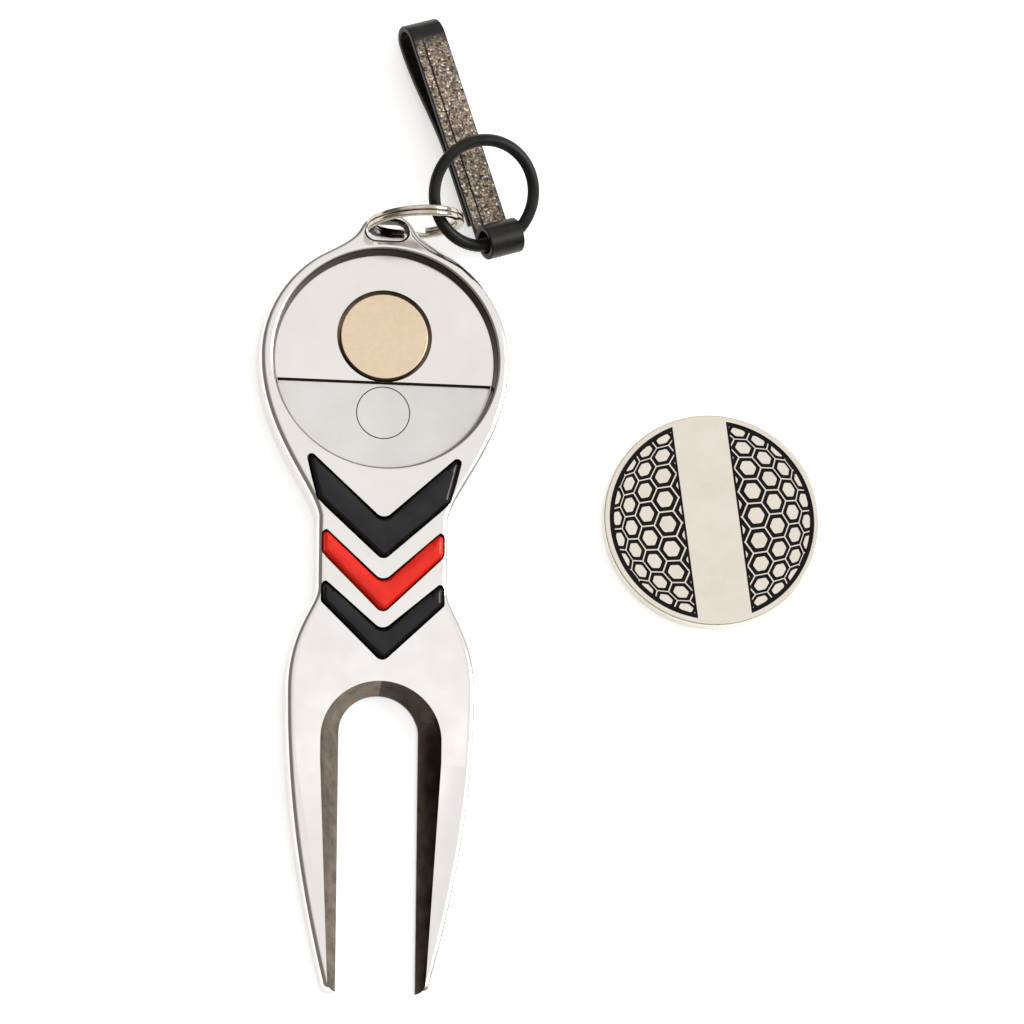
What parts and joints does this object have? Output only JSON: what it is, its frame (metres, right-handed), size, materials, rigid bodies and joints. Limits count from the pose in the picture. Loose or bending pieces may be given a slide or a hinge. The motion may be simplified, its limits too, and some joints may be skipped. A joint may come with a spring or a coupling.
{
  "type": "divot repair tool",
  "caption": "Two-pronged golf divot repair tool with a recessed magnetic head, chevron inlays, a loose ball marker, and a split ring, rubber ring and folded clip.",
  "frame": {"origin": "on the back face, under the centre of the round marker recess", "axes": "+Z out of the face, +Y from the fork towards the lug, +X across the tool towards the side where the ball marker lies"},
  "size_m": [0.0627, 0.111, 0.011],
  "materials": {
    "satin_nickel": "bright satin nickel-chrome plate on a zinc casting",
    "magnet_nickel": "warm satin nickel plate",
    "clear_epoxy": "cured clear glue",
    "black_resin": "satin black soft resin",
    "red_resin": "satin red soft resin",
    "champagne_nickel": "satin champagne nickel plate",
    "black_enamel": "black stoving enamel",
    "ring_nickel": "bright nickel plate",
    "black_rubber": "satin black rubber",
    "black_sand_coat": "black sand-textured coat on spring steel"
  },
  "bodies": {
    "tool": {"tool_body": "satin_nickel", "recess_magnet": "magnet_nickel", "magnet_adhesive": "clear_epoxy", "chevron_upper": "black_resin", "chevron_middle": "red_resin", "chevron_lower": "black_resin", "chevron_upper_adhesive": "clear_epoxy", "chevron_middle_adhesive": "clear_epoxy", "chevron_lower_adhesive": "clear_epoxy"},
    "marker": {"marker_disc": "champagne_nickel", "enamel_front_left": "black_enamel", "enamel_front_right": "black_enamel", "enamel_back_left": "black_enamel", "enamel_back_right": "black_enamel"},
    "ring": {"split_ring": "ring_nickel"},
    "o_ring": {"o_ring": "black_rubber"},
    "clip": {"belt_clip": "black_sand_coat"}
  },
  "joints": [
    {"name": "marker_flip", "type": "hinge", "parent": "tool", "child": "marker", "pos_m": [0.01833, -0.0083, 0.00186], "axis": [-0.4126, -0.9109, 0], "range_deg": [0, 180]},
    {"name": "ring_turn", "type": "hinge", "parent": "tool", "child": "ring", "pos_m": [0.0029, 0.01505, 0.00565], "axis": [0.0872, -0.9962, 0], "range_deg": [0, 60]},
    {"name": "o_ring_turn", "type": "hinge", "parent": "ring", "child": "o_ring", "pos_m": [0.0104, 0.0186, 0.0062], "axis": [0.2699, -0.3299, 0.9046], "range_deg": [-5, 50]},
    {"name": "clip_swing", "type": "hinge", "parent": "o_ring", "child": "clip", "pos_m": [0.01255, 0.01409, 0.00392], "axis": [0.9088, 0.3406, -0.241], "range_deg": [-60, 12]}
  ]
}
